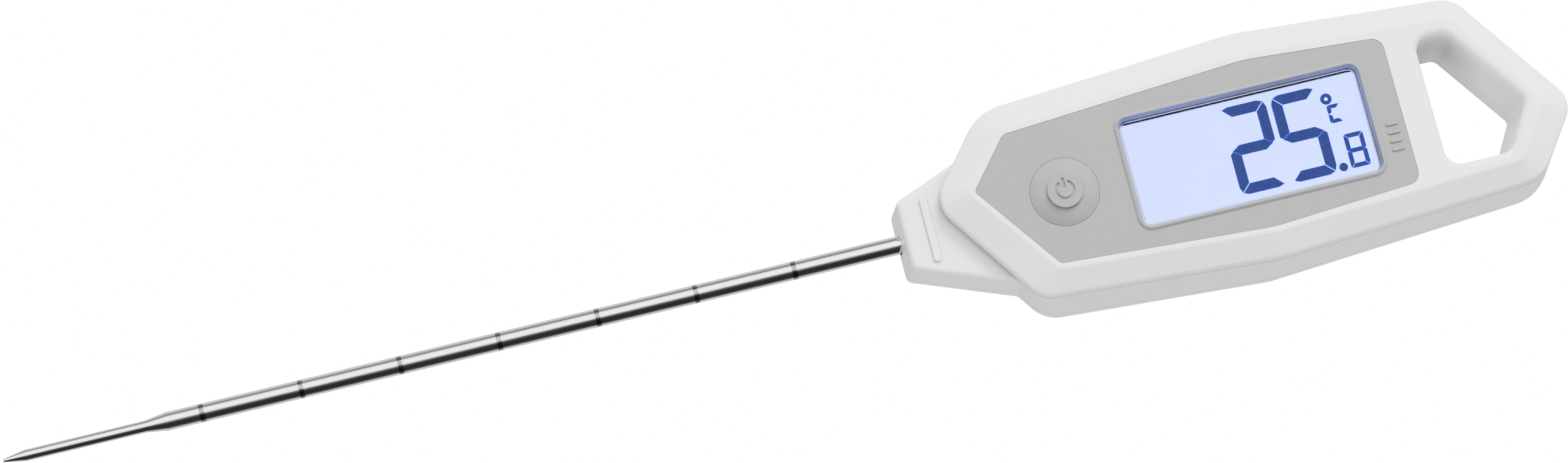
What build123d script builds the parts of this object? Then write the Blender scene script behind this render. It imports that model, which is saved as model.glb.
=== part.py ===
"""Digital meat thermometer with a rigid stainless probe and a flat white handle.

It lies on its back: +Z comes out of the display side, +X runs along the probe's axis to the
hanging hole, and every part is written in one frame whose origin is the bottom centre.
Inside this file a station x is counted from the probe's tip, y is across the handle, and z is
the height above the back. The shift to the origin is made once, when the parts are written.
"""

from build123d import *
import os
from math import cos, degrees, atan2, radians, sin

# ---------------------------------------------------------------- handle, heights
BACK_FLOOR = 1.8
SEAM_Z = 3.6
AXIS_Z = 5.6
DECK_Z = 13.0
CREASE_Z = 13.2
LEDGE_UNDER_Z = 14.3
SHOULDER_Z = 15.4
LEDGE_TOP_Z = 16.0
PLATE_BOTTOM_Z = 16.1
PLATE_TOP_Z = 17.9
LIP_Z = 18.0

# ---------------------------------------------------------------- handle, outlines (x, y, corner radius)
SEAM_CORNERS = [
    (188.7, 4.4, 6.4),
    (202.1, 20.8, 10.8),
    (255.2, 24.3, 30.0),
    (299.8, 21.0, 6.8),
    (318.0, -5.4, 5.6),
    (307.9, -20.1, 9.0),
    (251.6, -23.95, 20.0),
    (206.3, -20.8, 7.0),
]
FRAME_CORNERS = [
    (189.2, 4.4, 6.0),
    (202.3, 20.4, 10.5),
    (255.2, 24.0, 30.0),
    (299.6, 20.6, 6.5),
    (317.5, -5.4, 5.3),
    (307.7, -19.3, 8.0),
    (253.2, -22.5, 30.0),
    (205.3, -19.2, 6.0),
]
RIDGE_CORNERS = [
    (196.2, 4.3, 1.5),
    (205.2, 15.2, 4.0),
    (255.6, 18.6, 30.0),
    (297.5, 16.2, 3.0),
    (311.3, -4.6, 3.0),
    (304.4, -15.2, 4.0),
    (253.2, -17.7, 30.0),
    (209.9, -14.9, 2.5),
]
PLATE_CORNERS = [
    (197.5, 4.2, 0.9),
    (205.7, 14.1, 2.0),
    (255.6, 17.5, 30.0),
    (283.4, 15.4, 2.4),
    (283.4, -14.7, 2.4),
    (253.2, -16.65, 30.0),
    (210.4, -13.8, 1.2),
]
HOLE_CORNERS = [
    (290.9, 12.3, 1.6),
    (295.5, 12.2, 2.0),
    (306.5, -3.6, 1.2),
    (301.9, -11.7, 1.8),
    (290.9, -11.7, 2.0),
]
NECK_FACE_X = 181.5
NECK_FACE_TOP_X = 182.3
NECK_FACE_HALF = 6.8
NECK_ROOT_X = 206.0
NECK_ROOT_HALF = 16.35
NECK_EDGE_R = 1.5
NECK_ROOT_R = 2.0

WALL = 2.0
DECK_THICKNESS = 2.0
DECK_EDGE_R = 1.2
BACK_EDGE_R = 1.2
SHOULDER_R = 1.0
RIDGE_R = 1.0
FRAME_WALL = 3.2
HOLE_DRAFT = 4.2
HOLE_WALL = 2.2
HOLE_RIM_R = 1.5
HOLE_REACH = 25.0
PLATE_LEDGE = 1.2
PLATE_GAP = 0.08
NECK_RIB = {"x": 187.6, "half_length": 6.8, "width": 1.7, "height": 0.5}

# ---------------------------------------------------------------- gaskets at the seam
GASKET_INSET = 0.6
GASKET_WIDTH = 0.8
GASKET_DEPTH = 0.8
HOLE_GASKET_OUT = 0.8

# ---------------------------------------------------------------- screws
CASE_SCREWS = [(193.5, 7.0), (193.5, -7.0), (256.0, 19.9), (256.0, -19.9),
               (289.5, 17.8), (289.5, -17.6), (313.2, -4.6)]
PCB_SCREWS = [(206.5, 12.2), (211.0, -11.6), (284.2, 10.0), (284.2, -10.0)]
BOSS_R = 2.5
COLUMN_R = 2.9
PCB_BOSS_R = 2.2
PILOT_R = 1.02
SHANK_R = 1.0
SHANK_CLEARANCE_R = 1.15
HEAD_R = 1.9
HEAD_POCKET_R = 2.1
CROSS_SLOT = (2.0, 0.45, 1.2)
CASE_HEAD = (0.3, 1.7)
CASE_SHANK_TOP = 9.0
PCB_HEAD_HEIGHT = 1.2
PCB_SHANK_TOP = 13.6

# ---------------------------------------------------------------- probe
SHAFT_R = 1.9
SHAFT_BORE_R = 1.3
TIP_R = 1.25
TIP_BORE_R = 0.75
TIP_POINT_R = 0.35
POINT_LENGTH = 4.5
TIP_END_X = 28.6
CONE_END_X = 32.9
TUBE_END_X = 196.0
GRIP_X = 181.2
GRIP_R = 1.6
SLOT_R = 1.85
SADDLE_X = (181.8, 183.5)
RIBS = [(187.0, 188.4), (193.8, 195.2)]
RIB_HALF = 6.0
ANCHOR_R = 3.0
SEAL_R = 3.2
BEAD_X = 8.9
BEAD_R = 0.65
LEAD_R = 0.2
LEAD_Y = 0.45
LEAD_PAD = (204.0, 1.3)
LEAD_TURN_X = 199.0

# ---------------------------------------------------------------- face plate, window and key
WINDOW = {"x": (228.4, 276.8), "y": (-10.45, 11.2), "radius": 1.6}
WINDOW_SEAT = 0.3
WINDOW_BOTTOM_Z = 16.5
WINDOW_TOP_Z = 17.3
WINDOW_TAPE = 0.1
LENS_GAP = 0.1
LENS_EDGE_R = 0.15
BEAD_WIDTH = 1.3
BEAD_CREST = 0.55
BEAD_TOP_Z = 18.25
BEAD_EDGE_R = 0.12
KEY_X = 214.7
KEY_R = 6.85
KEY_FIT = 0.08
KEY_DOME = 1.55
KEY_FLANGE_R = 7.9
KEY_FLANGE_Z = (14.9, 15.8)
KEY_STEM_R = 1.6
KEY_STEM_Z = 14.2
KEY_ROOF_Z = 17.2
KEY_INNER_R = 5.6
PAD_R = 3.6
PAD_TOP_Z = 19.6
GUIDE_R = (8.1, 9.0)
GUIDE_Z = 13.4
MARK_BARS = {"x": 280.9, "y": -4.6, "pitch": 1.75, "count": 4, "length": 2.5, "width": 0.7, "height": 0.25}

# ---------------------------------------------------------------- display stack
LIT_AREA = ((228.9, 276.55), (-9.95, 10.5))
GLASS_X = (226.6, 278.7)
GLASS_HALF = 11.9
CONTACT_EDGE_Y = 9.5
HOLDER_MARGIN = 1.0
POLARIZER_Z = (15.85, 16.0)
FRONT_GLASS_Z = (15.15, 15.85)
REAR_GLASS_Z = (14.45, 15.15)
REFLECTOR_Z = (14.25, 14.45)
LIGHT_GUIDE_Z = (12.5, 14.25)
HOLDER_FLOOR_Z = 12.5
HOLDER_TOP_Z = 15.85
HOLDER_FIT = 0.1
HOLDER_SHELF = 2.0
HOLDER_WELL_Y = (-10.4, 9.0)
ZEBRA_X = (230.0, 276.0)
ZEBRA_Y = (9.9, 11.7)
ZEBRA_FIT = 0.15
LAMP_Y = (-5.0, 5.0)
LAMP_HALF = 1.5
LAMP_REACH = 0.8
LAMP_FOOT = 0.7
SEGMENT_HEIGHT = 0.08
BIG_FIGURE = {"size": (9.2, 17.9), "stroke": 1.95, "gap": 0.12}
SMALL_FIGURE = {"size": (3.8, 6.9), "stroke": 0.72, "gap": 0.1}
LETTER = {"size": (2.45, 3.6), "stroke": 0.6, "gap": 0.07}
POINT = {"x": 269.65, "y": -7.9, "radius": 0.78}
DEGREE = {"x": 269.85, "y": 6.3, "radii": (0.47, 1.05)}

# ---------------------------------------------------------------- circuit board
PCB_Z = (8.6, 9.6)
PCB_INSET = 4.6
PCB_X = (200.0, 286.9)
SWITCH_BODY = 6.0
SWITCH_TOP_Z = 12.8
MCU = {"x": 266.0, "radius": 4.4, "height": 1.3, "curve": 5.5}
CRYSTAL = {"x": (268.0, 274.0), "y": 8.5, "radius": 0.95}
PLUNGER_R = 1.7
PLUNGER_TOP_Z = 13.6

# ---------------------------------------------------------------- coin cell and its cover
CELL_X = 242.0
CELL_R = 10.0
CELL_Z = (1.5, 4.7)
COVER_R = 12.4
COVER_BORE_R = 12.48
COVER_Z = 0.1
COVER_FLOOR_Z = 1.3
COVER_WALL_R = 10.7
COVER_TOP_Z = 3.0
COLLAR_R = 15.2
COLLAR_TOP_Z = 3.3
LUG_R = 13.6
LUG_GROOVE_R = 13.9
LUG_Z = (0.9, 1.6)
LUG_GROOVE_Z = (0.7, 1.75)
LUG_ANGLES = [30, 150, 270]
LUG_WIDTH = 22
NOTCH_WIDTH = 30
COVER_TURN = 60
COIN_SLOT = {"size": (15.0, 2.0), "depth": 0.7}
DIMPLE = {"reach": 10.2, "radius": 0.7, "depth": 0.3}
ORING_R = 12.05
ORING_SECTION = 0.4
ORING_GROOVE_Z = (2.0, 2.8)
HOLDER_R = (10.45, 12.2)
HOLDER_NOTCH = {"reach": (14.0, 9.0), "half": 2.6}
LEAF = 0.25
LEAF_WIDTH = 4.0


# ================================================================ shared shapes
def rounded(corners):
    """A face with straight edges and a rounded corner at each (x, y, radius)."""
    points = [(x, y) for x, y, _ in corners]
    radii = [radius for _, _, radius in corners]
    return make_face(FilletPolyline(*points, radius=radii, close=True))


def slab(face, low, high, taper=0):
    """The face extruded straight up from one height to another."""
    return extrude(Pos(0, 0, low) * face, amount=high - low, dir=(0, 0, 1), taper=taper)


def block(x, y, z):
    """A box from its (low, high) pairs."""
    size = [high - low for low, high in (x, y, z)]
    middle = [(high + low) / 2 for low, high in (x, y, z)]
    return Pos(*middle) * Box(*size)


def post(radius, z, x, y):
    """An upright cylinder between two heights."""
    return Pos(x, y, (z[0] + z[1]) / 2) * Cylinder(radius, z[1] - z[0])


def rod(radius, x, y=0, z=AXIS_Z):
    """A cylinder lying along the probe's axis between two stations."""
    return Pos((x[0] + x[1]) / 2, y, z) * Rot(0, 90, 0) * Cylinder(radius, x[1] - x[0])


def ring(radii, z, x, y):
    """An upright tube between two radii."""
    return post(radii[1], z, x, y) - post(radii[0], z, x, y)


def sector(radii, z, x, y, angle, width):
    """The slice of a ring that is centred on an angle, in degrees."""
    reach = 2 * radii[1]
    sides = [(reach * cos(radians(angle + turn)), reach * sin(radians(angle + turn)))
             for turn in (-width / 2, width / 2)]
    wedge = slab(make_face(Polyline((0, 0), *sides, close=True)), *z)
    return ring(radii, z, x, y) & (Pos(x, y) * wedge)


def window_shape(grow=0.0):
    """The display window's outline, grown outwards on every side."""
    x, y = WINDOW["x"], WINDOW["y"]
    size = [high - low + 2 * grow for low, high in (x, y)]
    return Pos((x[0] + x[1]) / 2, (y[0] + y[1]) / 2) * RectangleRounded(*size, WINDOW["radius"] + grow)


def between(low_face, low, high_face, high):
    """A straight-sided solid between two outlines with the same number of corners."""
    return loft([Pos(0, 0, low) * low_face, Pos(0, 0, high) * high_face], ruled=True)


def band(face, outer, inner):
    """The ring between two offsets of one outline."""
    return offset(face, outer) - offset(face, inner)


def at_height(shape, z):
    """The edges that lie level at one height."""
    return shape.edges().filter_by_position(Axis.Z, z - 0.01, z + 0.01)


# ================================================================ handle outlines
def neck_outline(face_x):
    """The tapering neck, with its front face at one station."""
    slope = (NECK_ROOT_HALF - NECK_FACE_HALF) / (NECK_ROOT_X - NECK_FACE_X)
    half = NECK_FACE_HALF + slope * (face_x - NECK_FACE_X)
    return rounded([
        (face_x, half, NECK_EDGE_R),
        (NECK_ROOT_X, NECK_ROOT_HALF, NECK_ROOT_R),
        (NECK_ROOT_X, -NECK_ROOT_HALF, NECK_ROOT_R),
        (face_x, -half, NECK_EDGE_R),
    ])


def body_outline():
    """The shield and the neck in one outline, at the seam."""
    return Sketch() + rounded(SEAM_CORNERS) + neck_outline(NECK_FACE_X)


def hole_outline():
    """The hanging hole where it leaves the back."""
    return rounded(HOLE_CORNERS)


def hole_funnel(grow=0.0):
    """The hanging hole's flared space, or its wall when grown."""
    return extrude(offset(hole_outline(), grow), amount=LIP_Z, dir=(0, 0, 1), taper=-HOLE_DRAFT)


def hole_mouth():
    """The hanging hole's flared space with its rounded rim."""
    middle = hole_outline().center()
    above = Pos(middle.X, middle.Y) * Rectangle(4 * HOLE_REACH, 4 * HOLE_REACH)
    space = hole_funnel() + slab(above, LIP_Z, LIP_Z + 3)
    rim = [edge for edge in at_height(space, LIP_Z)
           if (edge.center() - Vector(middle.X, middle.Y, LIP_Z)).length < HOLE_REACH]
    return fillet(rim, HOLE_RIM_R)


# ================================================================ housing
def raised_frame():
    """The shield's raised part: a short wall, a rounded shoulder and a long slope up to a flat ring."""
    shoulder = rounded(FRAME_CORNERS)
    frame = slab(shoulder, CREASE_Z, SHOULDER_Z)
    frame += between(shoulder, SHOULDER_Z, rounded(RIDGE_CORNERS), LIP_Z)
    frame = fillet(at_height(frame, SHOULDER_Z), SHOULDER_R)
    return fillet(at_height(frame, LIP_Z), RIDGE_R)


def front_shell():
    """White upper housing: neck, drafted body, raised frame, screw bosses and the hole's wall."""
    frame = rounded(FRAME_CORNERS)
    plate = rounded(PLATE_CORNERS)
    neck = between(neck_outline(NECK_FACE_X), SEAM_Z, neck_outline(NECK_FACE_TOP_X), DECK_Z)
    neck = fillet(at_height(neck, DECK_Z), DECK_EDGE_R)
    shell = neck + between(rounded(SEAM_CORNERS), SEAM_Z, frame, CREASE_Z) + raised_frame()

    inner = Sketch() + frame + neck_outline(NECK_FACE_X)
    cavity = slab(offset(inner, -WALL), SEAM_Z, DECK_Z - DECK_THICKNESS)
    cavity += slab(offset(frame, -FRAME_WALL), SEAM_Z, LEDGE_UNDER_Z)
    cavity -= hole_funnel(HOLE_WALL)
    for x, y in CASE_SCREWS:
        cavity -= post(BOSS_R, (SEAM_Z, LEDGE_UNDER_Z), x, y)
    for start, end in RIBS:
        cavity -= block((start, end), (-RIB_HALF, RIB_HALF), (SEAM_Z, DECK_Z))
    shell -= cavity

    shell -= slab(offset(plate, -PLATE_LEDGE), LEDGE_UNDER_Z - 1, LEDGE_TOP_Z)
    for x, y in PCB_SCREWS:
        shell += post(PCB_BOSS_R, (PCB_Z[1], LEDGE_TOP_Z), x, y)
    shell -= slab(offset(plate, PLATE_GAP), LEDGE_TOP_Z, LIP_Z + 1)

    for x, y in CASE_SCREWS:
        shell -= post(PILOT_R, (SEAM_Z, CASE_SHANK_TOP + 0.5), x, y)
    for x, y in PCB_SCREWS:
        shell -= post(PILOT_R, (PCB_Z[1], PCB_SHANK_TOP + 0.5), x, y)

    shell -= rod(SLOT_R, (NECK_FACE_X - 1, RIBS[-1][1] + 1))
    shell -= block((NECK_FACE_X - 1, RIBS[-1][1] + 1), (-SLOT_R, SLOT_R), (SEAM_Z, AXIS_Z))
    shell -= hole_mouth()
    return shell + neck_rib()


def neck_rib():
    """The low bead across the top of the neck."""
    bar = Pos(NECK_RIB["x"], 0) * Rot(0, 0, 90) * SlotOverall(2 * NECK_RIB["half_length"], NECK_RIB["width"])
    bead = slab(bar, DECK_Z - 0.5, DECK_Z + NECK_RIB["height"])
    return fillet(at_height(bead, DECK_Z + NECK_RIB["height"]), NECK_RIB["height"] * 0.8)


def rear_shell():
    """White back tray: battery collar, screw columns, gasket groove and the probe's saddle."""
    body = body_outline()
    tray = slab(body, 0, SEAM_Z)
    tray = fillet(at_height(tray, 0), BACK_EDGE_R)
    cavity = slab(offset(body, -WALL), BACK_FLOOR, SEAM_Z)
    cavity -= hole_funnel(HOLE_WALL)
    cavity -= post(COLLAR_R, (0, COLLAR_TOP_Z), CELL_X, 0)
    for x, y in CASE_SCREWS:
        cavity -= post(COLUMN_R, (0, SEAM_Z), x, y)
    tray -= cavity

    tray -= post(COVER_BORE_R, (-1, SEAM_Z), CELL_X, 0)
    tray -= ring((COVER_BORE_R - 1, LUG_GROOVE_R), LUG_GROOVE_Z, CELL_X, 0)
    for angle in LUG_ANGLES:
        notch_z = (-1, LUG_GROOVE_Z[1])
        tray -= sector((COVER_BORE_R - 1, LUG_GROOVE_R), notch_z, CELL_X, 0, angle - COVER_TURN, NOTCH_WIDTH)

    for x, y in CASE_SCREWS:
        tray -= post(SHANK_CLEARANCE_R, (-1, SEAM_Z + 1), x, y)
        tray -= post(HEAD_POCKET_R, (-1, CASE_HEAD[1]), x, y)
    tray -= hole_funnel()
    tray -= case_gasket()
    tray -= hole_gasket()

    saddle = block(SADDLE_X, (-SLOT_R, SLOT_R), (SEAM_Z, AXIS_Z))
    return tray + (saddle - rod(SLOT_R, (SADDLE_X[0] - 1, SADDLE_X[1] + 1)))


def case_gasket():
    """Silicone ring that seals the seam, in a groove in the back tray's rim."""
    path = band(body_outline(), -GASKET_INSET, -GASKET_INSET - GASKET_WIDTH)
    return slab(path, SEAM_Z - GASKET_DEPTH, SEAM_Z)


def hole_gasket():
    """Silicone ring that seals the seam around the hanging hole."""
    path = band(hole_outline(), HOLE_GASKET_OUT + GASKET_WIDTH, HOLE_GASKET_OUT)
    return slab(path, SEAM_Z - GASKET_DEPTH, SEAM_Z)


def screw(z_head, z_tip, x, y):
    """A small cross-head screw that points up."""
    body = post(HEAD_R, z_head, x, y) + post(SHANK_R, (z_head[1], z_tip), x, y)
    for turn in (0, 90):
        body -= Pos(x, y, z_head[0]) * Rot(0, 0, turn) * Box(*CROSS_SLOT)
    return body


def case_screws():
    """The screws that hold the two shells together."""
    return Part() + [screw(CASE_HEAD, CASE_SHANK_TOP, x, y) for x, y in CASE_SCREWS]


def pcb_screws():
    """The screws that hold the circuit board up against the front shell."""
    head = (PCB_Z[0] - PCB_HEAD_HEIGHT, PCB_Z[0])
    return Part() + [screw(head, PCB_SHANK_TOP, x, y) for x, y in PCB_SCREWS]


# ================================================================ face plate, window and key
def face_plate():
    """Grey face plate with the window seat and its bead, the key's hole and guide, and raised bars."""
    plate = slab(rounded(PLATE_CORNERS), PLATE_BOTTOM_Z, PLATE_TOP_Z)
    plate += slab(window_shape(BEAD_WIDTH), PLATE_TOP_Z, BEAD_TOP_Z, taper=bead_angle())
    plate += ring(GUIDE_R, (GUIDE_Z, PLATE_BOTTOM_Z + 0.2), KEY_X, 0)
    plate -= slab(window_shape(-WINDOW_SEAT), PLATE_BOTTOM_Z - 1, LIP_Z + 1)
    plate -= slab(window_shape(), WINDOW_BOTTOM_Z - WINDOW_TAPE, WINDOW_TOP_Z)
    plate -= between(window_shape(), WINDOW_TOP_Z, window_shape(BEAD_CREST), BEAD_TOP_Z)
    plate = fillet(at_height(plate, BEAD_TOP_Z), BEAD_EDGE_R)
    plate -= post(KEY_R + KEY_FIT, (PLATE_BOTTOM_Z - 1, LIP_Z + 1), KEY_X, 0)
    first = MARK_BARS["y"] - MARK_BARS["pitch"] * (MARK_BARS["count"] - 1) / 2
    for i in range(MARK_BARS["count"]):
        bar = SlotOverall(MARK_BARS["length"], MARK_BARS["width"])
        bar = Pos(MARK_BARS["x"], first + i * MARK_BARS["pitch"]) * bar
        plate += slab(bar, PLATE_TOP_Z - 0.2, PLATE_TOP_Z + MARK_BARS["height"])
    return plate


def bead_angle():
    """The slope of the bead's outer side, in degrees from upright."""
    run = BEAD_WIDTH - BEAD_CREST - 2 * BEAD_EDGE_R
    return degrees(atan2(run, BEAD_TOP_Z - PLATE_TOP_Z))


def face_plate_tape():
    """Adhesive ring between the front shell's ledge and the face plate."""
    return slab(band(rounded(PLATE_CORNERS), -0.1, -PLATE_LEDGE), LEDGE_TOP_Z, PLATE_BOTTOM_Z)


def display_window():
    """Clear window bonded into the face plate, a little below its bead."""
    lens = slab(window_shape(-LENS_GAP), WINDOW_BOTTOM_Z, WINDOW_TOP_Z)
    return fillet(at_height(lens, WINDOW_TOP_Z), LENS_EDGE_R)


def window_tape():
    """White adhesive ring under the clear window."""
    tape = window_shape(-LENS_GAP) - window_shape(-WINDOW_SEAT)
    return slab(tape, WINDOW_BOTTOM_Z - WINDOW_TAPE, WINDOW_BOTTOM_Z)


def button_dome():
    """Low domed key with a raised round pad, a retaining flange and a stem over the switch."""
    ball_r = (KEY_R ** 2 + KEY_DOME ** 2) / (2 * KEY_DOME)
    ball = Pos(KEY_X, 0, PLATE_TOP_Z + KEY_DOME - ball_r) * Sphere(ball_r)
    key = post(KEY_R, (KEY_FLANGE_Z[0], PLATE_TOP_Z + KEY_DOME), KEY_X, 0) & ball
    key += post(KEY_R, (KEY_FLANGE_Z[0], PLATE_TOP_Z), KEY_X, 0)
    key += post(KEY_FLANGE_R, KEY_FLANGE_Z, KEY_X, 0)
    pad = post(PAD_R, (PLATE_TOP_Z, PAD_TOP_Z), KEY_X, 0)
    key += fillet(at_height(pad, PAD_TOP_Z), 0.25)
    key -= post(KEY_INNER_R, (KEY_FLANGE_Z[0] - 1, KEY_ROOF_Z), KEY_X, 0)
    key += post(KEY_STEM_R, (KEY_STEM_Z, KEY_ROOF_Z), KEY_X, 0)
    symbol_z = (PAD_TOP_Z - 0.25, PAD_TOP_Z + 1)
    key -= ring((1.45, 2.05), symbol_z, KEY_X, 0) - block((KEY_X - 0.8, KEY_X + 0.8), (0.4, 3.0), symbol_z)
    return key - block((KEY_X - 0.3, KEY_X + 0.3), (0.5, 2.5), symbol_z)


def tact_switch_body():
    """Square switch body under the key."""
    half = SWITCH_BODY / 2
    body = block((KEY_X - half, KEY_X + half), (-half, half), (PCB_Z[1], SWITCH_TOP_Z))
    body = chamfer(body.edges().filter_by(Axis.Z), 0.4)
    return body - post(PLUNGER_R + KEY_FIT, (SWITCH_TOP_Z - 1.0, SWITCH_TOP_Z + 1), KEY_X, 0)


def tact_switch_plunger():
    """The switch's own plunger."""
    return post(PLUNGER_R, (SWITCH_TOP_Z - 0.7, PLUNGER_TOP_Z), KEY_X, 0)


# ================================================================ display
def glass(z, y_high=GLASS_HALF):
    """One layer of the display, as wide as the front glass or narrower at its contact edge."""
    return block(GLASS_X, (-GLASS_HALF, y_high), z)


def lcd_front_polarizer():
    """Polarising film on the front glass, as large as the lit field."""
    return block(*LIT_AREA, POLARIZER_Z)


def lcd_front_glass():
    """Front glass, which carries the contacts on its long edge."""
    return glass(FRONT_GLASS_Z)


def lcd_rear_glass():
    """Rear glass, narrower, so that the contact edge is free."""
    return glass(REAR_GLASS_Z, CONTACT_EDGE_Y)


def lcd_reflector():
    """Diffusing film behind the rear glass."""
    return glass(REFLECTOR_Z, CONTACT_EDGE_Y)


def backlight_guide():
    """Clear light guide with its chamfered entry edge at the lamps."""
    guide = glass(LIGHT_GUIDE_Z, CONTACT_EDGE_Y)
    return chamfer(guide.edges().filter_by(Axis.Y).sort_by(Axis.X)[0:1], 0.4)


def figure_bars(corner, lit, size, stroke, gap):
    """The lit bars of one figure, lettered a to g clockwise from the top, with g in the middle.

    Bars meet on slanting cuts, and the figure's outer corners are cut off.
    """
    width, height = size
    middle = height / 2
    half = stroke / 2
    nose = 0.25 * stroke
    cut = 0.8 * stroke
    left_low = [(0, cut), (nose - gap, nose + gap), (stroke, stroke + 2 * gap),
                (stroke, middle - half - 2 * gap), (nose, middle - 2 * gap), (0, middle - nose - gap)]
    bottom = [(cut, 0), (nose + gap, nose - gap), (stroke + 2 * gap, stroke),
              (width - stroke - 2 * gap, stroke), (width - nose - gap, nose - gap), (width - cut, 0)]
    centre = [(nose + gap, middle), (stroke + gap, middle + half),
              (width - stroke - gap, middle + half), (width - nose - gap, middle),
              (width - stroke - gap, middle - half), (stroke + gap, middle - half)]
    bars = {
        "a": [(x, height - y) for x, y in bottom],
        "b": [(width - x, height - y) for x, y in left_low],
        "c": [(width - x, y) for x, y in left_low],
        "d": bottom,
        "e": left_low,
        "f": [(x, height - y) for x, y in left_low],
        "g": centre,
    }
    return [Pos(*corner) * make_face(Polyline(*bars[name], close=True)) for name in lit]


def lcd_segments():
    """The lit figures of a sample reading: 25.8 and a degree C sign."""
    z = (POLARIZER_Z[1], POLARIZER_Z[1] + SEGMENT_HEIGHT)
    faces = figure_bars((248.7, -8.65), "abged", **BIG_FIGURE)
    faces += figure_bars((259.1, -8.65), "afgcd", **BIG_FIGURE)
    faces += figure_bars((271.25, -8.5), "abcdefg", **SMALL_FIGURE)
    faces += figure_bars((269.6, 1.3), "afed", **LETTER)
    figures = [slab(face, *z) for face in faces]
    figures.append(post(POINT["radius"], z, POINT["x"], POINT["y"]))
    figures.append(ring(DEGREE["radii"], z, DEGREE["x"], DEGREE["y"]))
    return Part() + figures


def lcd_holder():
    """Moulded cradle that stands on the board and locates the display and the light guide."""
    outer_x = (GLASS_X[0] - HOLDER_MARGIN, GLASS_X[1] + HOLDER_MARGIN)
    outer_y = GLASS_HALF + HOLDER_MARGIN
    seat_x = (GLASS_X[0] - HOLDER_FIT, GLASS_X[1] + HOLDER_FIT)
    seat_y = GLASS_HALF + HOLDER_FIT
    well_x = (GLASS_X[0] + HOLDER_SHELF, GLASS_X[1] - HOLDER_SHELF)
    well_z = (PCB_Z[1] - 1, HOLDER_FLOOR_Z + 1)
    cradle = block(outer_x, (-outer_y, outer_y), (PCB_Z[1], HOLDER_TOP_Z))
    cradle -= block(seat_x, (-seat_y, seat_y), (HOLDER_FLOOR_Z, HOLDER_TOP_Z + 1))
    cradle -= block(well_x, HOLDER_WELL_Y, well_z)
    zebra_x = (ZEBRA_X[0] - ZEBRA_FIT, ZEBRA_X[1] + ZEBRA_FIT)
    cradle -= block(zebra_x, (ZEBRA_Y[0] - ZEBRA_FIT, ZEBRA_Y[1] + ZEBRA_FIT), well_z)
    for y in LAMP_Y:
        lamp_y = (y - LAMP_HALF - HOLDER_FIT, y + LAMP_HALF + HOLDER_FIT)
        cradle -= block((GLASS_X[1] - 1, outer_x[1] + 1), lamp_y, LIGHT_GUIDE_Z)
    return cradle


def backlight_leds():
    """Two side-lit lamps that shine into the light guide's end."""
    x = (GLASS_X[1] + HOLDER_FIT, GLASS_X[1] + HOLDER_MARGIN + LAMP_REACH)
    lamps = []
    for y in LAMP_Y:
        width = (y - LAMP_HALF, y + LAMP_HALF)
        head = block(x, width, (LIGHT_GUIDE_Z[0] + 0.05, LIGHT_GUIDE_Z[1] - 0.05))
        foot = block((x[1] - LAMP_FOOT, x[1]), width, (PCB_Z[1], LIGHT_GUIDE_Z[0] + 0.1))
        lamps.append(head + foot)
    return Part() + lamps


def zebra_strip():
    """Elastomer connector between the board and the front glass's contact edge."""
    return block(ZEBRA_X, ZEBRA_Y, (PCB_Z[1], FRONT_GLASS_Z[0]))


# ================================================================ circuit board
def pcb():
    """Board that follows the handle's outline, notched round the case screw bosses."""
    reach = 30
    strip = Pos((PCB_X[0] + PCB_X[1]) / 2, 0) * Rectangle(PCB_X[1] - PCB_X[0], 2 * reach)
    outline = offset(rounded(FRAME_CORNERS), -PCB_INSET) & strip
    board = slab(outline, *PCB_Z)
    for x, y in CASE_SCREWS:
        board -= post(BOSS_R + 0.5, (PCB_Z[0] - 1, PCB_Z[1] + 1), x, y)
    for x, y in PCB_SCREWS:
        board -= post(SHANK_CLEARANCE_R, (PCB_Z[0] - 1, PCB_Z[1] + 1), x, y)
    return board


def mcu_blob():
    """Black resin over the measuring chip."""
    dome = Pos(MCU["x"], 0, PCB_Z[0]) * Sphere(MCU["curve"])
    return dome & post(MCU["radius"], (PCB_Z[0] - MCU["height"], PCB_Z[0]), MCU["x"], 0)


def crystal():
    """Cylindrical clock crystal lying on the board."""
    return rod(CRYSTAL["radius"], CRYSTAL["x"], CRYSTAL["y"], PCB_Z[0] - CRYSTAL["radius"])


def chips(places, size):
    """A row of small surface-mount parts under the board."""
    length, width, height = size
    return Part() + [
        block((x - length / 2, x + length / 2), (y - width / 2, y + width / 2), (PCB_Z[0] - height, PCB_Z[0]))
        for x, y in places
    ]


def chip_resistors():
    """Surface-mount resistors beside the probe's solder pads."""
    return chips([(220.0 + 3.2 * (i % 2), -7.5 + 3.0 * i) for i in range(6)], (1.6, 0.8, 0.5))


def chip_capacitors():
    """Surface-mount capacitors near the resin-covered chip."""
    return chips([(259.5 + 3.6 * i, -8.5) for i in range(4)], (2.0, 1.25, 0.9))


# ================================================================ coin cell
def battery_cover():
    """Round bayonet cover with a coin slot, three lugs and an o-ring groove."""
    cover = post(COVER_R, (COVER_Z, COVER_TOP_Z), CELL_X, 0)
    cover = fillet(at_height(cover, COVER_Z), 0.3)
    cover -= post(COVER_WALL_R, (COVER_FLOOR_Z, COVER_TOP_Z + 1), CELL_X, 0)
    cover -= ring((ORING_R - ORING_SECTION - 0.05, COVER_R + 1), ORING_GROOVE_Z, CELL_X, 0)
    for angle in LUG_ANGLES:
        cover += sector((COVER_R - 0.4, LUG_R), LUG_Z, CELL_X, 0, angle, LUG_WIDTH)
    slot = Pos(CELL_X, 0) * SlotOverall(*COIN_SLOT["size"])
    cover -= slab(slot, COVER_Z - 1, COVER_Z + COIN_SLOT["depth"])
    for y in (-DIMPLE["reach"], DIMPLE["reach"]):
        cover -= post(DIMPLE["radius"], (COVER_Z - 1, COVER_Z + DIMPLE["depth"]), CELL_X, y)
    return cover


def battery_cover_oring():
    """Rubber ring in the cover's groove."""
    return Pos(CELL_X, 0, sum(ORING_GROOVE_Z) / 2) * Torus(ORING_R, ORING_SECTION)


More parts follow.
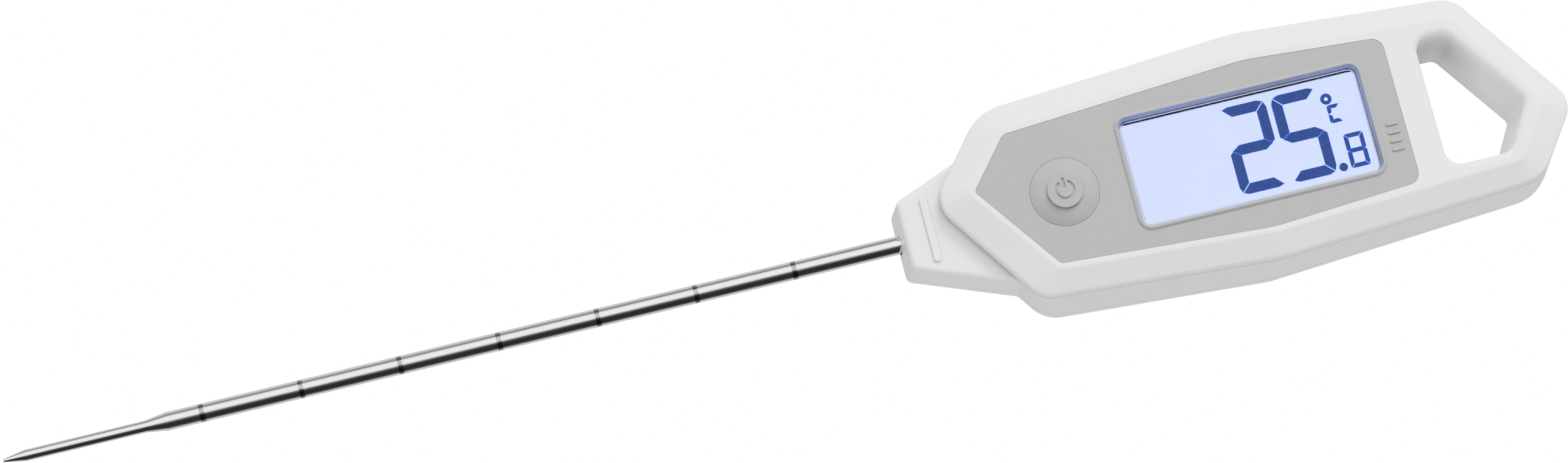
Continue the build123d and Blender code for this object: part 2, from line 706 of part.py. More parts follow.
def coin_cell():
    """Steel coin cell, 20 mm across and 3.2 mm thick, with its smaller inner face up."""
    can = fillet(post(CELL_R, (CELL_Z[0], CELL_Z[1] - 0.4), CELL_X, 0).edges(), 0.3)
    return can + post(CELL_R - 1.2, (CELL_Z[1] - 0.6, CELL_Z[1]), CELL_X, 0)


def battery_holder():
    """Moulded ring under the board that centres the cell."""
    holder = ring(HOLDER_R, (COLLAR_TOP_Z, PCB_Z[0]), CELL_X, 0)
    outer, inner = HOLDER_NOTCH["reach"]
    half = HOLDER_NOTCH["half"]
    return holder - block((CELL_X - outer, CELL_X - inner), (-half, half), (COLLAR_TOP_Z - 1, PCB_Z[0] + 1))


def leaf_spring(points):
    """A strip of spring metal bent to a side outline of (x, z) points from the cell's centre."""
    side = trace(Polyline(*points), line_width=LEAF)
    strip = extrude(side, amount=LEAF_WIDTH / 2, both=True)
    return Pos(CELL_X, 0, 0) * Rot(90, 0, 0) * strip


def battery_contact_negative():
    """Sprung leaf from the board to the cell's inner face."""
    top = PCB_Z[0] - LEAF / 2
    low = CELL_Z[1] + LEAF / 2
    return leaf_spring([(-7.0, top), (-2.5, top), (2.5, low), (4.2, low), (5.4, low + 0.7)])


def battery_contact_positive():
    """Side leaf from the board down the cell's rim."""
    top = PCB_Z[0] - LEAF / 2
    side = -CELL_R - 0.05 - LEAF / 2
    return leaf_spring([(-15.5, top), (side, top), (side, 2.2)])


# ================================================================ probe
def probe_tube():
    """Drawn steel tube with a reduced, pointed tip, a blind bore and a slimmer end in the handle."""
    profile = Polyline(
        (0, 0), (0, TIP_POINT_R), (POINT_LENGTH, TIP_R - 0.05), (TIP_END_X, TIP_R),
        (CONE_END_X, SHAFT_R), (GRIP_X, SHAFT_R), (GRIP_X, GRIP_R),
        (TUBE_END_X, GRIP_R), (TUBE_END_X, SHAFT_BORE_R),
        (CONE_END_X + 1.5, SHAFT_BORE_R), (TIP_END_X + 1, TIP_BORE_R), (POINT_LENGTH + 1.8, TIP_BORE_R),
        (POINT_LENGTH + 1.2, 0), close=True)
    return Pos(0, 0, AXIS_Z) * revolve(make_face(profile), Axis.X)


def probe_anchor():
    """Brass collar pressed on the tube and trapped between the neck's ribs."""
    collar = rod(ANCHOR_R, (RIBS[0][1], RIBS[1][0]))
    return collar - rod(GRIP_R, (RIBS[0][1] - 1, RIBS[1][0] + 1))


def probe_seal():
    """Silicone grommet behind the neck's front wall."""
    x = (NECK_FACE_X + WALL, RIBS[0][0])
    return rod(SEAL_R, x) - rod(GRIP_R, (x[0] - 1, x[1] + 1))


def thermistor_bead():
    """Glass bead that senses the temperature."""
    return Pos(BEAD_X, 0, AXIS_Z) * Sphere(BEAD_R)


def sensor_lead(side):
    """One insulated lead, whole, from the bead through the tube to its pad under the board."""
    pad_x, pad_y = LEAD_PAD
    points = [
        (BEAD_X + 0.5, side * LEAD_Y, AXIS_Z),
        (LEAD_TURN_X, side * LEAD_Y, AXIS_Z),
        (pad_x, side * pad_y, AXIS_Z + 0.3),
        (pad_x, side * pad_y, PCB_Z[0]),
    ]
    route = FilletPolyline(*points, radius=[12.0, 1.2])
    start = Plane(origin=points[0], z_dir=(1, 0, 0))
    return sweep(start * Circle(LEAD_R), path=route)


def tip_potting():
    """Heat-conducting resin round the bead."""
    fill = rod(TIP_BORE_R, (POINT_LENGTH + 2.6, 13.0))
    return fill - thermistor_bead() - sensor_lead(1) - sensor_lead(-1)


# ================================================================ output
PARTS = {
    "front_shell": front_shell,
    "rear_shell": rear_shell,
    "case_gasket": case_gasket,
    "hole_gasket": hole_gasket,
    "case_screws": case_screws,
    "face_plate": face_plate,
    "face_plate_tape": face_plate_tape,
    "display_window": display_window,
    "window_tape": window_tape,
    "button_dome": button_dome,
    "tact_switch_body": tact_switch_body,
    "tact_switch_plunger": tact_switch_plunger,
    "lcd_segments": lcd_segments,
    "lcd_front_polarizer": lcd_front_polarizer,
    "lcd_front_glass": lcd_front_glass,
    "lcd_rear_glass": lcd_rear_glass,
    "lcd_reflector": lcd_reflector,
    "backlight_guide": backlight_guide,
    "backlight_leds": backlight_leds,
    "lcd_holder": lcd_holder,
    "zebra_strip": zebra_strip,
    "pcb": pcb,
    "pcb_screws": pcb_screws,
    "mcu_blob": mcu_blob,
    "crystal": crystal,
    "chip_resistors": chip_resistors,
    "chip_capacitors": chip_capacitors,
    "battery_holder": battery_holder,
    "battery_contact_positive": battery_contact_positive,
    "battery_contact_negative": battery_contact_negative,
    "coin_cell": coin_cell,
    "battery_cover": battery_cover,
    "battery_cover_oring": battery_cover_oring,
    "probe_tube": probe_tube,
    "probe_anchor": probe_anchor,
    "probe_seal": probe_seal,
    "thermistor_bead": thermistor_bead,
    "sensor_lead_a": lambda: sensor_lead(1),
    "sensor_lead_b": lambda: sensor_lead(-1),
    "tip_potting": tip_potting,
}


def main():
    os.makedirs("parts", exist_ok=True)
    shapes = {name: make() for name, make in PARTS.items()}
    boxes = [shape.bounding_box() for shape in shapes.values()]
    middle_x = (min(box.min.X for box in boxes) + max(box.max.X for box in boxes)) / 2
    middle_y = (min(box.min.Y for box in boxes) + max(box.max.Y for box in boxes)) / 2
    shift = Pos(-middle_x, -middle_y, -min(box.min.Z for box in boxes))
    print("shift from the probe's tip to the origin:", shift.position)
    for name, shape in shapes.items():
        export_step(shift * shape, f"parts/{name}.step")


main()
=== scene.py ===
"""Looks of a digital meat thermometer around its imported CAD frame. Everything is in metres."""

from math import radians

import bmesh
import bpy
from mathutils import Matrix, Vector


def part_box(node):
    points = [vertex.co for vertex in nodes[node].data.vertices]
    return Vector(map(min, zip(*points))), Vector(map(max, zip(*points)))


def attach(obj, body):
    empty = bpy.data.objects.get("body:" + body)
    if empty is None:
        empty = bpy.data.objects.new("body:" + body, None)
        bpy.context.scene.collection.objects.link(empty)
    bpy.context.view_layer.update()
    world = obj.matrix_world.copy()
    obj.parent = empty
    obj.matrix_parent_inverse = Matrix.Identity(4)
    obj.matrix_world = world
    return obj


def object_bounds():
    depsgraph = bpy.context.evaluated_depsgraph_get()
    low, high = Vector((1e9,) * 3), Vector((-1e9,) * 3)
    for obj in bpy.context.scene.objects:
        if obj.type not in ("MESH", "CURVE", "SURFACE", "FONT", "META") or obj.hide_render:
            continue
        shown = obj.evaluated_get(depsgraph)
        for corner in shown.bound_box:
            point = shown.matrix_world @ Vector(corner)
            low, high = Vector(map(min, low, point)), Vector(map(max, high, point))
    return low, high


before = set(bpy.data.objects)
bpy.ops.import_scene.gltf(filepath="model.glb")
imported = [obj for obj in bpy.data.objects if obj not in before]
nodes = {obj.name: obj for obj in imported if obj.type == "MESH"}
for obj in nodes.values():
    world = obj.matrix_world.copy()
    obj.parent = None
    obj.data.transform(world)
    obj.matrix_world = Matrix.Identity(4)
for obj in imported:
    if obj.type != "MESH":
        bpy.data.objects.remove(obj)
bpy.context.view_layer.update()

MM = 0.001


# ------------------------------------------------------------------ places taken from the frame
def middle(node):
    """The centre of a CAD node's box."""
    low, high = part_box(node)
    return (low + high) / 2


TIP_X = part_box("probe_tube")[0].x
AXIS_Y = middle("probe_tube").y
SEAM_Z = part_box("front_shell")[0].z
CREASE_Z = SEAM_Z + 9.6 * MM
CREASE_FADE = 1.5 * MM
HOLE_MIDDLE = (TIP_X + 297.5 * MM, AXIS_Y, 0.0)
DEPTH_BAND_FIRST = TIP_X + 40 * MM
DEPTH_BAND_PITCH = 20 * MM
DEPTH_BAND_COUNT = 7
DEPTH_BAND_WIDTH = 1.0 * MM


# ------------------------------------------------------------------ node helper
# Most of a noise lies between these two values.
NOISE_LOW = 0.3
NOISE_HIGH = 0.7
NOISE_ROUGHNESS = 0.55


class Graph:
    """Short calls for building a node tree."""

    def __init__(self, tree):
        self.tree = tree

    def feed(self, socket, value):
        """Links another socket, or sets a plain value on the socket itself."""
        if isinstance(value, bpy.types.NodeSocket):
            self.tree.links.new(value, socket)
        elif hasattr(value, "__len__") and len(value) == 3 and len(socket.default_value) == 4:
            socket.default_value = (*value, 1.0)
        else:
            socket.default_value = value

    def fill(self, node, inputs):
        for name, value in inputs.items():
            self.feed(node.inputs[name], value)

    def node(self, kind, inputs=None, **settings):
        node = self.tree.nodes.new(kind)
        for name, value in settings.items():
            setattr(node, name, value)
        self.fill(node, inputs or {})
        return node

    def place(self):
        """The point's place in object space."""
        return self.node("ShaderNodeTexCoord").outputs["Object"]

    def along(self, vector, axis):
        """One coordinate of a vector."""
        return self.node("ShaderNodeSeparateXYZ", {"Vector": vector}).outputs[axis]

    def math(self, operation, a, b=0.0):
        node = self.node("ShaderNodeMath", {0: a, 1: b}, operation=operation)
        return node.outputs[0]

    def vector_math(self, operation, a, b, result="Vector"):
        node = self.node("ShaderNodeVectorMath", {0: a, 1: b}, operation=operation)
        return node.outputs[result]

    def map(self, value, low, high, to_low, to_high, kind="LINEAR"):
        node = self.node("ShaderNodeMapRange", {
            "Value": value, "From Min": low, "From Max": high, "To Min": to_low, "To Max": to_high,
        }, interpolation_type=kind)
        return node.outputs[0]

    def vary(self, noise, low, high):
        """Spreads a noise over the range from low to high."""
        return self.map(noise, NOISE_LOW, NOISE_HIGH, low, high)

    def ramp(self, value, stops, interpolation):
        node = self.node("ShaderNodeValToRGB", {"Fac": value})
        node.color_ramp.interpolation = interpolation
        elements = node.color_ramp.elements
        while len(elements) < len(stops):
            elements.new(0.5)
        for element, (place, color) in zip(elements, stops):
            element.position = place
            element.color = (*color, 1.0)
        return node.outputs["Color"]

    def noise(self, scale, detail=3.0, stretch=(1, 1, 1)):
        """Noise in object space. Scale is features per metre."""
        mapped = self.node("ShaderNodeMapping", {"Vector": self.place(), "Scale": stretch})
        noise = self.node("ShaderNodeTexNoise", {
            "Vector": mapped.outputs[0], "Scale": scale, "Detail": detail, "Roughness": NOISE_ROUGHNESS,
        })
        return noise.outputs["Fac"]

    def mix(self, amount, a, b):
        """A blend of two colors. They are a Mix node's inputs 6 and 7, and its output 2."""
        node = self.node("ShaderNodeMix", {"Factor": amount}, data_type="RGBA")
        self.fill(node, {6: a, 7: b})
        return node.outputs[2]

    def relief(self, shader, height, strength, distance):
        """Bumps the shader's surface by a height pattern."""
        bump = self.node("ShaderNodeBump", {
            "Height": height, "Strength": strength, "Distance": distance,
        })
        self.feed(shader.inputs["Normal"], bump.outputs[0])


# ------------------------------------------------------------------ camera and light
CAMERA_PITCH = -12.50
CAMERA_YAW = 3.92
CAMERA_ROLL = 14.36
CAMERA_PLACE = (TIP_X + 79.456 * MM, AXIS_Y - 253.05 * MM, 1181.14 * MM)
CAMERA_LENS = 139.75
SENSOR_WIDTH = 36.0
NEAREST_SEEN = 0.01


def make_camera():
    """Looks almost straight down, with the probe's tip at the lower left."""
    data = bpy.data.cameras.new("camera")
    data.lens = CAMERA_LENS
    data.sensor_width = SENSOR_WIDTH
    data.clip_start = NEAREST_SEEN
    camera = bpy.data.objects.new("camera", data)
    bpy.context.scene.collection.objects.link(camera)
    roll = Matrix.Rotation(radians(CAMERA_ROLL), 3, "Z")
    pitch = Matrix.Rotation(radians(CAMERA_PITCH), 3, "X")
    yaw = Matrix.Rotation(radians(CAMERA_YAW), 3, "Y")
    turn = (roll @ pitch @ yaw).transposed()
    camera.matrix_world = Matrix.Translation(CAMERA_PLACE) @ turn.to_4x4()
    bpy.context.scene.camera = camera


# Studio brightness round the probe's axis: (degrees from straight up towards +Y, brightness).
STUDIO = [
    (-180, 2.2), (-140, 2.2), (-118, 1.0), (-100, 0.12), (-75, 0.05), (-45, 0.06), (-33, 0.14),
    (-22, 0.3), (-12, 1.8), (0, 7.0), (23, 8.8), (35, 6.6), (48, 2.4), (60, 0.42), (76, 0.5),
    (94, 1.5), (116, 2.5), (150, 2.2), (180, 2.2),
]
STUDIO_PEAK = 8.8
STUDIO_LEVEL = 6.6
# Towards +X and -X the studio fades: full up to END_FADE_FROM, and END_SHARE of it from END_FADE_TO.
END_FADE_FROM = 0.45
END_FADE_TO = 0.95
END_SHARE = 0.3


def make_world():
    """A long overhead softbox that leans towards +Y, darker sides, and a pale bounce from below."""
    world = bpy.data.worlds.new("studio")
    world.use_nodes = True
    tree = world.node_tree
    tree.nodes.clear()
    g = Graph(tree)
    direction = g.node("ShaderNodeTexCoord").outputs["Generated"]
    split = g.node("ShaderNodeSeparateXYZ", {"Vector": direction})
    angle = g.math("ARCTAN2", split.outputs["Y"], split.outputs["Z"])
    turn = g.map(angle, -radians(180), radians(180), 0, 1)
    stops = [((degrees + 180) / 360, (level / STUDIO_PEAK,) * 3) for degrees, level in STUDIO]
    ramp = g.ramp(turn, stops, "EASE")
    end_on = g.math("ABSOLUTE", split.outputs["X"])
    fall = g.map(end_on, END_FADE_FROM, END_FADE_TO, STUDIO_LEVEL, STUDIO_LEVEL * END_SHARE)
    light = g.node("ShaderNodeBackground", {"Color": ramp, "Strength": fall})
    g.node("ShaderNodeOutputWorld", {"Surface": light.outputs[0]})
    bpy.context.scene.world = world


# Softboxes that shade the mouldings: (name, place, width, height, watts).
SOFTBOXES = [
    ("key_light", (0.70, 1.05, 0.85), 0.7, 0.5, 88.0),
    ("side_bounce", (0.05, -1.60, 0.10), 2.4, 0.5, 50.0),
]
SOFTBOX_AIM = Vector((0.08, 0, 0))


def make_softboxes():
    """A key light high on the +X, +Y side and a weaker, low one on the -Y side. Neither is reflected."""
    for name, place, width, height, watts in SOFTBOXES:
        data = bpy.data.lights.new(name, "AREA")
        data.shape = "RECTANGLE"
        data.size = width
        data.size_y = height
        data.energy = watts
        light = bpy.data.objects.new(name, data)
        bpy.context.scene.collection.objects.link(light)
        light.location = place
        light.rotation_euler = (SOFTBOX_AIM - Vector(place)).to_track_quat("-Z", "Y").to_euler()
        light.visible_glossy = False
        light.visible_camera = False


# ------------------------------------------------------------------ materials
WHITE = (0.74, 0.74, 0.737)
GREY = (0.160, 0.160, 0.158)
BLACK = (0.0, 0.0, 0.0)


def new_material(name):
    """A material that holds one Principled shader, with its graph and that shader."""
    material = bpy.data.materials.new(name)
    material.use_nodes = True
    material.node_tree.nodes.clear()
    g = Graph(material.node_tree)
    shader = g.node("ShaderNodeBsdfPrincipled")
    g.node("ShaderNodeOutputMaterial", {"Surface": shader.outputs[0]})
    return material, g, shader


def tint(color, amount):
    """The color made lighter or darker."""
    return tuple(max(0.0, c * (1 + amount)) for c in color)


# Painted shade: closed-in places are found with short rays, and are painted darker between these two
# shares of open sky.
CAVITY_REACH = 12 * MM
CAVITY_RAYS = 6
CAVITY_CLOSED = 0.32
CAVITY_OPEN = 0.94
CAVITY_SHADE_TINT = -0.9


def moulded(name, color, roughness=0.42, grain=0.03, grain_scale=9000, bump=0.006, patch=0.02,
            specular=0.5, hollow_shade=0.0, alone=True):
    """Moulded plastic or rubber: fine spark-eroded grain, faint patches, uneven gloss.

    Hollow shade is painted shade: it darkens closed-in places. With alone, other pieces don't count as
    closing them in.
    """
    material, g, shader = new_material(name)
    fine = g.noise(grain_scale, 2.0)
    broad = g.noise(90, 4.0)
    shade = g.mix(g.vary(fine, 0, 1), tint(color, -grain), tint(color, grain))
    shade = g.mix(g.vary(broad, 0, 0.6), shade, tint(color, -patch))
    if hollow_shade:
        sky = g.node("ShaderNodeAmbientOcclusion", {"Distance": CAVITY_REACH},
                     samples=CAVITY_RAYS, only_local=alone)
        closed = g.map(sky.outputs["AO"], CAVITY_CLOSED, CAVITY_OPEN, hollow_shade, 0)
        # Painted shade: closed-in places are darkened.
        shade = g.mix(closed, shade, tint(color, CAVITY_SHADE_TINT))
    gloss = g.vary(g.noise(400, 3.0), roughness - 0.05, roughness + 0.06)
    g.fill(shader, {"Base Color": shade, "Roughness": gloss, "Specular IOR Level": specular})
    g.relief(shader, fine, 0.35, bump * MM)
    return material


CREASE_SHADE_SHARE = 0.75
CREASE_SHADE_TINT = -0.7
CREASE_START = CREASE_Z - 0.1 * MM
PARTING_TINT = -0.75
PARTING_THIN = 0.06 * MM
PARTING_WIDE = 0.10 * MM


def shell_white(name, color):
    """White moulding with painted shade in closed-in places and where the raised frame meets the case,
    and a fine parting line.
    """
    material = moulded(name, color, roughness=0.40, grain=0.012, patch=0.012, hollow_shade=0.75)
    tree = material.node_tree
    g = Graph(tree)
    shader = next(node for node in tree.nodes if node.type == "BSDF_PRINCIPLED")
    place = g.place()
    z = g.along(place, "Z")
    normal = g.node("ShaderNodeNewGeometry").outputs["Normal"]
    upright = g.map(g.math("ABSOLUTE", g.along(normal, "Z")), 0.1, 0.9, 1, 0)
    # The walls of the hanging hole face its middle, and they get no painted crease shade.
    from_hole = g.vector_math("SUBTRACT", place, HOLE_MIDDLE)
    level = g.vector_math("MULTIPLY", from_hole, (1, 1, 0))
    outside = g.math("GREATER_THAN", g.vector_math("DOT_PRODUCT", level, normal, "Value"), 0.0)
    above = g.math("MULTIPLY", g.math("GREATER_THAN", z, CREASE_START), outside)
    near = g.map(z, CREASE_Z, CREASE_Z + CREASE_FADE, 1, 0, "SMOOTHSTEP")
    shadow = g.math("MULTIPLY", g.math("MULTIPLY", above, near), upright)
    shade = shader.inputs["Base Color"].links[0].from_socket
    # Painted shade: upright walls just above the crease are darkened.
    shade = g.mix(g.math("MULTIPLY", shadow, CREASE_SHADE_SHARE), shade, tint(color, CREASE_SHADE_TINT))
    off = g.math("ABSOLUTE", g.math("SUBTRACT", z, SEAM_Z))
    line = g.math("LESS_THAN", off, g.vary(g.noise(700, 2.0), PARTING_THIN, PARTING_WIDE))
    g.feed(shader.inputs["Base Color"], g.mix(line, shade, tint(color, PARTING_TINT)))
    return material


def metal(name, color, roughness=0.25, brush=(1, 1, 1), brush_scale=4000):
    """Plain metal with fine drawn or turned lines and uneven gloss."""
    material, g, shader = new_material(name)
    lines = g.noise(brush_scale, 3.0, brush)
    shade = g.mix(g.vary(lines, 0, 1), tint(color, -0.06), tint(color, 0.05))
    gloss = g.vary(lines, roughness * 0.8, roughness * 1.25)
    g.fill(shader, {"Base Color": shade, "Roughness": gloss, "Metallic": 1.0})
    g.relief(shader, lines, 0.3, 0.004 * MM)
    return material


STEEL_DARK = (0.69, 0.685, 0.665)
STEEL_LIGHT = (0.76, 0.755, 0.735)
BAND_COLOR = (0.09, 0.09, 0.10)
BAND_ROUGHNESS = 0.22
# Share of a band's half width over which its edge fades, to either side.
BAND_BLUR = 0.2


def depth_bands(g):
    """1 on the dark bands along the probe and 0 between them."""
    x = g.along(g.place(), "X")
    steps = g.math("DIVIDE", g.math("SUBTRACT", x, DEPTH_BAND_FIRST), DEPTH_BAND_PITCH)
    near = g.math("ROUND", steps)
    off = g.math("ABSOLUTE", g.math("SUBTRACT", steps, near))
    half = DEPTH_BAND_WIDTH / DEPTH_BAND_PITCH / 2
    band = g.map(off, half * (1 - BAND_BLUR), half * (1 + BAND_BLUR), 1, 0, "SMOOTHSTEP")
    low_end = g.math("GREATER_THAN", near, -0.5)
    high_end = g.math("LESS_THAN", near, DEPTH_BAND_COUNT - 0.5)
    return g.math("MULTIPLY", band, g.math("MULTIPLY", low_end, high_end))


def probe_steel():
    """Polished stainless tube with drawn lines and dark, slightly mottled laser-marked bands."""
    material, g, shader = new_material("probe_steel")
    mottled = g.map(g.noise(2500, 3.0), 0.35, 0.65, 0.75, 1.0)
    band = g.math("MULTIPLY", depth_bands(g), mottled)
    lines = g.noise(1500, 4.0, (0.05, 1, 1))
    fine = g.noise(7000, 2.0, (0.3, 1, 1))
    steel = g.mix(g.vary(lines, 0, 1), STEEL_DARK, STEEL_LIGHT)
    polish = g.vary(fine, 0.07, 0.12)
    g.fill(shader, {
        "Base Color": g.mix(band, steel, BAND_COLOR),
        "Roughness": g.map(band, 0, 1, polish, BAND_ROUGHNESS),
        "Metallic": 1.0,
    })
    g.relief(shader, lines, 0.12, 0.004 * MM)
    return material


CLEAR_IOR = 1.49


def moulding_waves(g, shader, strength):
    """The faint waves that moulding leaves in clear plastic."""
    g.relief(shader, g.noise(120, 2.0), strength, 0.01 * MM)


def clear(name, color, specular=0.5):
    """Clear plastic or glass with faint moulding waves."""
    material, g, shader = new_material(name)
    g.fill(shader, {
        "Base Color": color, "Transmission Weight": 1.0, "IOR": CLEAR_IOR,
        "Specular IOR Level": specular, "Roughness": g.vary(g.noise(600, 3.0), 0.015, 0.045),
    })
    moulding_waves(g, shader, 0.15)
    return material


def thin_clear(name, haze, opacity):
    """A clear lens so thin that it doesn't bend the light: see-through, with a faint gloss and haze."""
    material, g, shader = new_material(name)
    cloud = g.noise(300, 3.0)
    g.fill(shader, {
        "Base Color": g.mix(cloud, haze, tint(haze, 0.6)),
        "Alpha": g.vary(cloud, opacity * 0.9, opacity * 1.1),
        "Roughness": g.vary(g.noise(600, 3.0), 0.03, 0.08),
        "Specular IOR Level": 0.1,
    })
    moulding_waves(g, shader, 0.05)
    return material


def glowing(name, color, base, spread=0.03, specular=0.1):
    """A lit display surface: slightly uneven light over a satin film. It isn't sampled as a lamp."""
    material, g, shader = new_material(name)
    material.cycles.emission_sampling = "NONE"
    fine = g.noise(5000, 2.0)
    broad = g.noise(45, 2.0)
    shade = g.mix(g.vary(fine, 0, 1), tint(color, -spread), tint(color, spread))
    shade = g.mix(g.vary(broad, 0, 0.7), shade, tint(color, -spread * 2))
    g.fill(shader, {
        "Emission Color": shade, "Emission Strength": 1.0, "Base Color": base,
        "Roughness": g.vary(fine, 0.45, 0.6), "Specular IOR Level": specular,
    })
    return material


# Radians per metre: a stripe each 0.16 mm on the connector, and a track each 1.8 mm on the board.
STRIPE_WAVES = 40000.0
TRACK_WAVES = 3500.0


def striped_rubber():
    """Elastomer connector with alternating conducting stripes."""
    material, g, shader = new_material("zebra_rubber")
    wave = g.math("SINE", g.math("MULTIPLY", g.along(g.place(), "X"), STRIPE_WAVES))
    stripe = g.map(wave, -0.2, 0.2, 0, 1)
    g.fill(shader, {
        "Base Color": g.mix(stripe, (0.03, 0.03, 0.03), (0.55, 0.5, 0.42)),
        "Roughness": g.vary(g.noise(3000), 0.6, 0.75),
    })
    return material


def board_green():
    """Solder mask over copper tracks."""
    material, g, shader = new_material("solder_mask")
    bend = g.vary(g.noise(60, 1.0), -3.0, 3.0)
    across = g.math("MULTIPLY", g.along(g.place(), "Y"), TRACK_WAVES)
    track = g.map(g.math("SINE", g.math("ADD", across, bend)), 0.3, 0.5, 0, 1)
    g.fill(shader, {
        "Base Color": g.mix(track, (0.010, 0.10, 0.035), (0.035, 0.20, 0.07)),
        "Roughness": g.vary(g.noise(2500), 0.25, 0.4),
    })
    g.relief(shader, track, 0.4, 0.03 * MM)
    return material


def wardrobe():
    """The material of every CAD node."""
    white = shell_white("white_abs", WHITE)
    cover = moulded("white_abs_cover", tint(WHITE, -0.03), grain=0.015, patch=0.015)
    # The face plate and button dome get painted shade in closed-in places.
    grey = moulded("grey_face", GREY, roughness=0.50, grain=0.05, grain_scale=7000, bump=0.010,
                   patch=0.03, specular=0.35, hollow_shade=0.5, alone=False)
    silicone = moulded("silicone", (0.55, 0.55, 0.54), 0.6, 0.02, 6000, bump=0.004, patch=0.03)
    tape = moulded("foam_tape", (0.72, 0.73, 0.75), 0.8, 0.05, 12000, bump=0.03)
    black = moulded("black_moulding", (0.02, 0.02, 0.02), 0.4, 0.1)
    ivory = moulded("ivory_moulding", (0.65, 0.63, 0.57), 0.4, 0.02)
    screws = metal("zinc_screw", (0.62, 0.62, 0.64), 0.28, brush_scale=3000)
    spring = metal("nickel_spring", (0.70, 0.67, 0.61), brush=(0.1, 1, 1))
    can = metal("cell_can", (0.66, 0.66, 0.66), 0.3, (0.2, 1, 1), 3000)
    brass = metal("turned_brass", (0.78, 0.57, 0.25), 0.22, (1, 0.1, 0.1), 5000)
    glass = clear("display_glass", (0.92, 0.96, 0.95), specular=0.1)
    return {
        "front_shell": white, "rear_shell": white, "battery_cover": cover,
        "face_plate": grey, "button_dome": grey,
        "case_gasket": silicone, "hole_gasket": silicone, "probe_seal": silicone,
        "face_plate_tape": tape, "window_tape": tape,
        "tact_switch_body": black, "tact_switch_plunger": ivory,
        "lcd_holder": ivory, "battery_holder": ivory,
        "case_screws": screws, "pcb_screws": screws,
        "battery_contact_positive": spring, "battery_contact_negative": spring,
        "coin_cell": can, "crystal": can, "probe_anchor": brass,
        "lcd_front_glass": glass, "lcd_rear_glass": glass, "thermistor_bead": glass,
        "backlight_guide": clear("light_guide", (0.9, 0.94, 1.0)),
        "display_window": thin_clear("clear_window", (0.004, 0.004, 0.006), 0.05),
        "lcd_front_polarizer": glowing("lit_field", (0.86, 1.85, 12.5), (0.10, 0.12, 0.2)),
        "lcd_segments": glowing("lit_figures", (0.052, 0.070, 0.33), BLACK, 0.05, 0.02),
        "lcd_reflector": moulded("diffuser_film", (0.8, 0.83, 0.88), 0.3, 0.01),
        "backlight_leds": moulded("lamp_resin", (0.75, 0.72, 0.5), 0.2, 0.02, 5000),
        "zebra_strip": striped_rubber(), "pcb": board_green(),
        "mcu_blob": moulded("epoxy_blob", (0.012, 0.012, 0.012), 0.18, 0.1, 900, bump=0.03),
        "chip_resistors": moulded("chip_black", (0.03, 0.03, 0.03), 0.35, 0.1),
        "chip_capacitors": moulded("chip_tan", (0.30, 0.20, 0.11), 0.4, 0.06),
        "battery_cover_oring": moulded("oring_rubber", (0.02, 0.02, 0.02), 0.5, 0.1),
        "probe_tube": probe_steel(),
        "sensor_lead_a": moulded("lead_red", (0.42, 0.03, 0.02), 0.4, 0.04),
        "sensor_lead_b": moulded("lead_white", (0.7, 0.7, 0.68), 0.4, 0.02),
        "tip_potting": moulded("amber_resin", (0.30, 0.17, 0.05), 0.25, 0.1, 2000),
    }


def dress_frame():
    """Puts the materials on the CAD nodes, and keeps the lit film's light off its surroundings."""
    for name, material in wardrobe().items():
        for slot in nodes[name].material_slots:
            slot.material = material
    nodes["lcd_front_polarizer"].visible_diffuse = False
    nodes["lcd_front_polarizer"].visible_glossy = False


# ------------------------------------------------------------------ added pieces
FIGURE_FRINGE = 0.13 * MM
FRINGE_SINK = 0.03 * MM
FRINGE_THICKNESS = 0.02 * MM
FRINGE_COLOR = (0.02, 0.05, 1.5)
WELD_DISTANCE = 0.001 * MM
# A face whose normal has at least this Z is a figure's top.
TOP_FACING = 0.9
# A smaller number lets a sharp corner's point reach further out.
MITRE_LIMIT = 0.4


def outward_moves(shape):
    """How far each outline point moves so that the outline grows by FIGURE_FRINGE all round."""
    moves = {}
    for vertex in shape.verts:
        pushes = []
        for edge in vertex.link_edges:
            if not edge.is_boundary:
                continue
            along = (edge.other_vert(vertex).co - vertex.co).normalized()
            out = along.cross((0, 0, 1))
            if out.dot(edge.link_faces[0].calc_center_median() - vertex.co) > 0:
                out = -out
            pushes.append(out)
        if len(pushes) == 2:
            first, second = pushes
            moves[vertex] = (first + second) * (FIGURE_FRINGE / max(MITRE_LIMIT, 1 + first.dot(second)))
    return moves


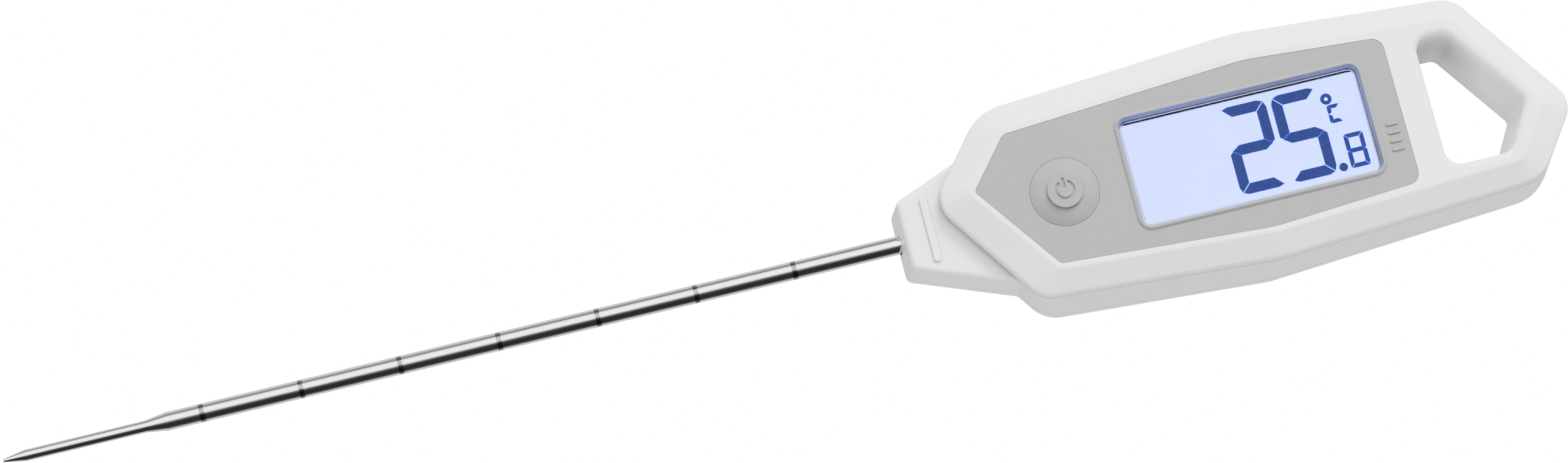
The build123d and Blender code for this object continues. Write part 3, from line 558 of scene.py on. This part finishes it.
def figure_fringe():
    """The bright blue fringe that the lit figures throw round their edges."""
    shape = bmesh.new()
    shape.from_mesh(nodes["lcd_segments"].data)
    bmesh.ops.remove_doubles(shape, verts=shape.verts, dist=WELD_DISTANCE)
    top = max(vertex.co.z for vertex in shape.verts)
    faces = [face for face in shape.faces if face.normal.z < TOP_FACING]
    bmesh.ops.delete(shape, geom=faces, context="FACES")
    loose = [vertex for vertex in shape.verts if not vertex.link_faces]
    bmesh.ops.delete(shape, geom=loose, context="VERTS")
    for vertex, move in outward_moves(shape).items():
        vertex.co += move
    for vertex in shape.verts:
        vertex.co.z = top - FRINGE_SINK
    mesh = bpy.data.meshes.new("figure_fringe")
    shape.to_mesh(mesh)
    shape.free()
    fringe = bpy.data.objects.new("figure_fringe", mesh)
    bpy.context.scene.collection.objects.link(fringe)
    solid = fringe.modifiers.new("thickness", "SOLIDIFY")
    solid.thickness = FRINGE_THICKNESS
    solid.offset = -1
    mesh.materials.append(glowing("figure_fringe", FRINGE_COLOR, BLACK, 0.05, 0.02))
    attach(fringe, "case")


FLOOR_HALF_SIDE = 6.0
FLOOR_GAP = 0.2 * MM
FLOOR_GLOW = 18.0


def make_floor():
    """Pale floor. The studio light already holds its bounce, so no bounced or reflected ray sees it."""
    mesh = bpy.data.meshes.new("floor")
    shape = bmesh.new()
    bmesh.ops.create_grid(shape, x_segments=1, y_segments=1, size=FLOOR_HALF_SIDE)
    shape.to_mesh(mesh)
    shape.free()
    floor = bpy.data.objects.new("floor", mesh)
    bpy.context.scene.collection.objects.link(floor)
    floor.location.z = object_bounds()[0][2] - FLOOR_GAP
    material, g, shader = new_material("pale_floor")
    g.fill(shader, {
        "Base Color": g.mix(g.noise(30, 3.0), (0.90, 0.90, 0.90), (0.93, 0.93, 0.93)),
        "Roughness": 0.9, "Specular IOR Level": 0.1,
        "Emission Color": (1, 1, 1), "Emission Strength": FLOOR_GLOW,
    })
    mesh.materials.append(material)
    floor.visible_diffuse = False
    floor.visible_glossy = False
    floor.visible_transmission = False


make_camera()
make_world()
make_softboxes()
make_floor()
dress_frame()
figure_fringe()
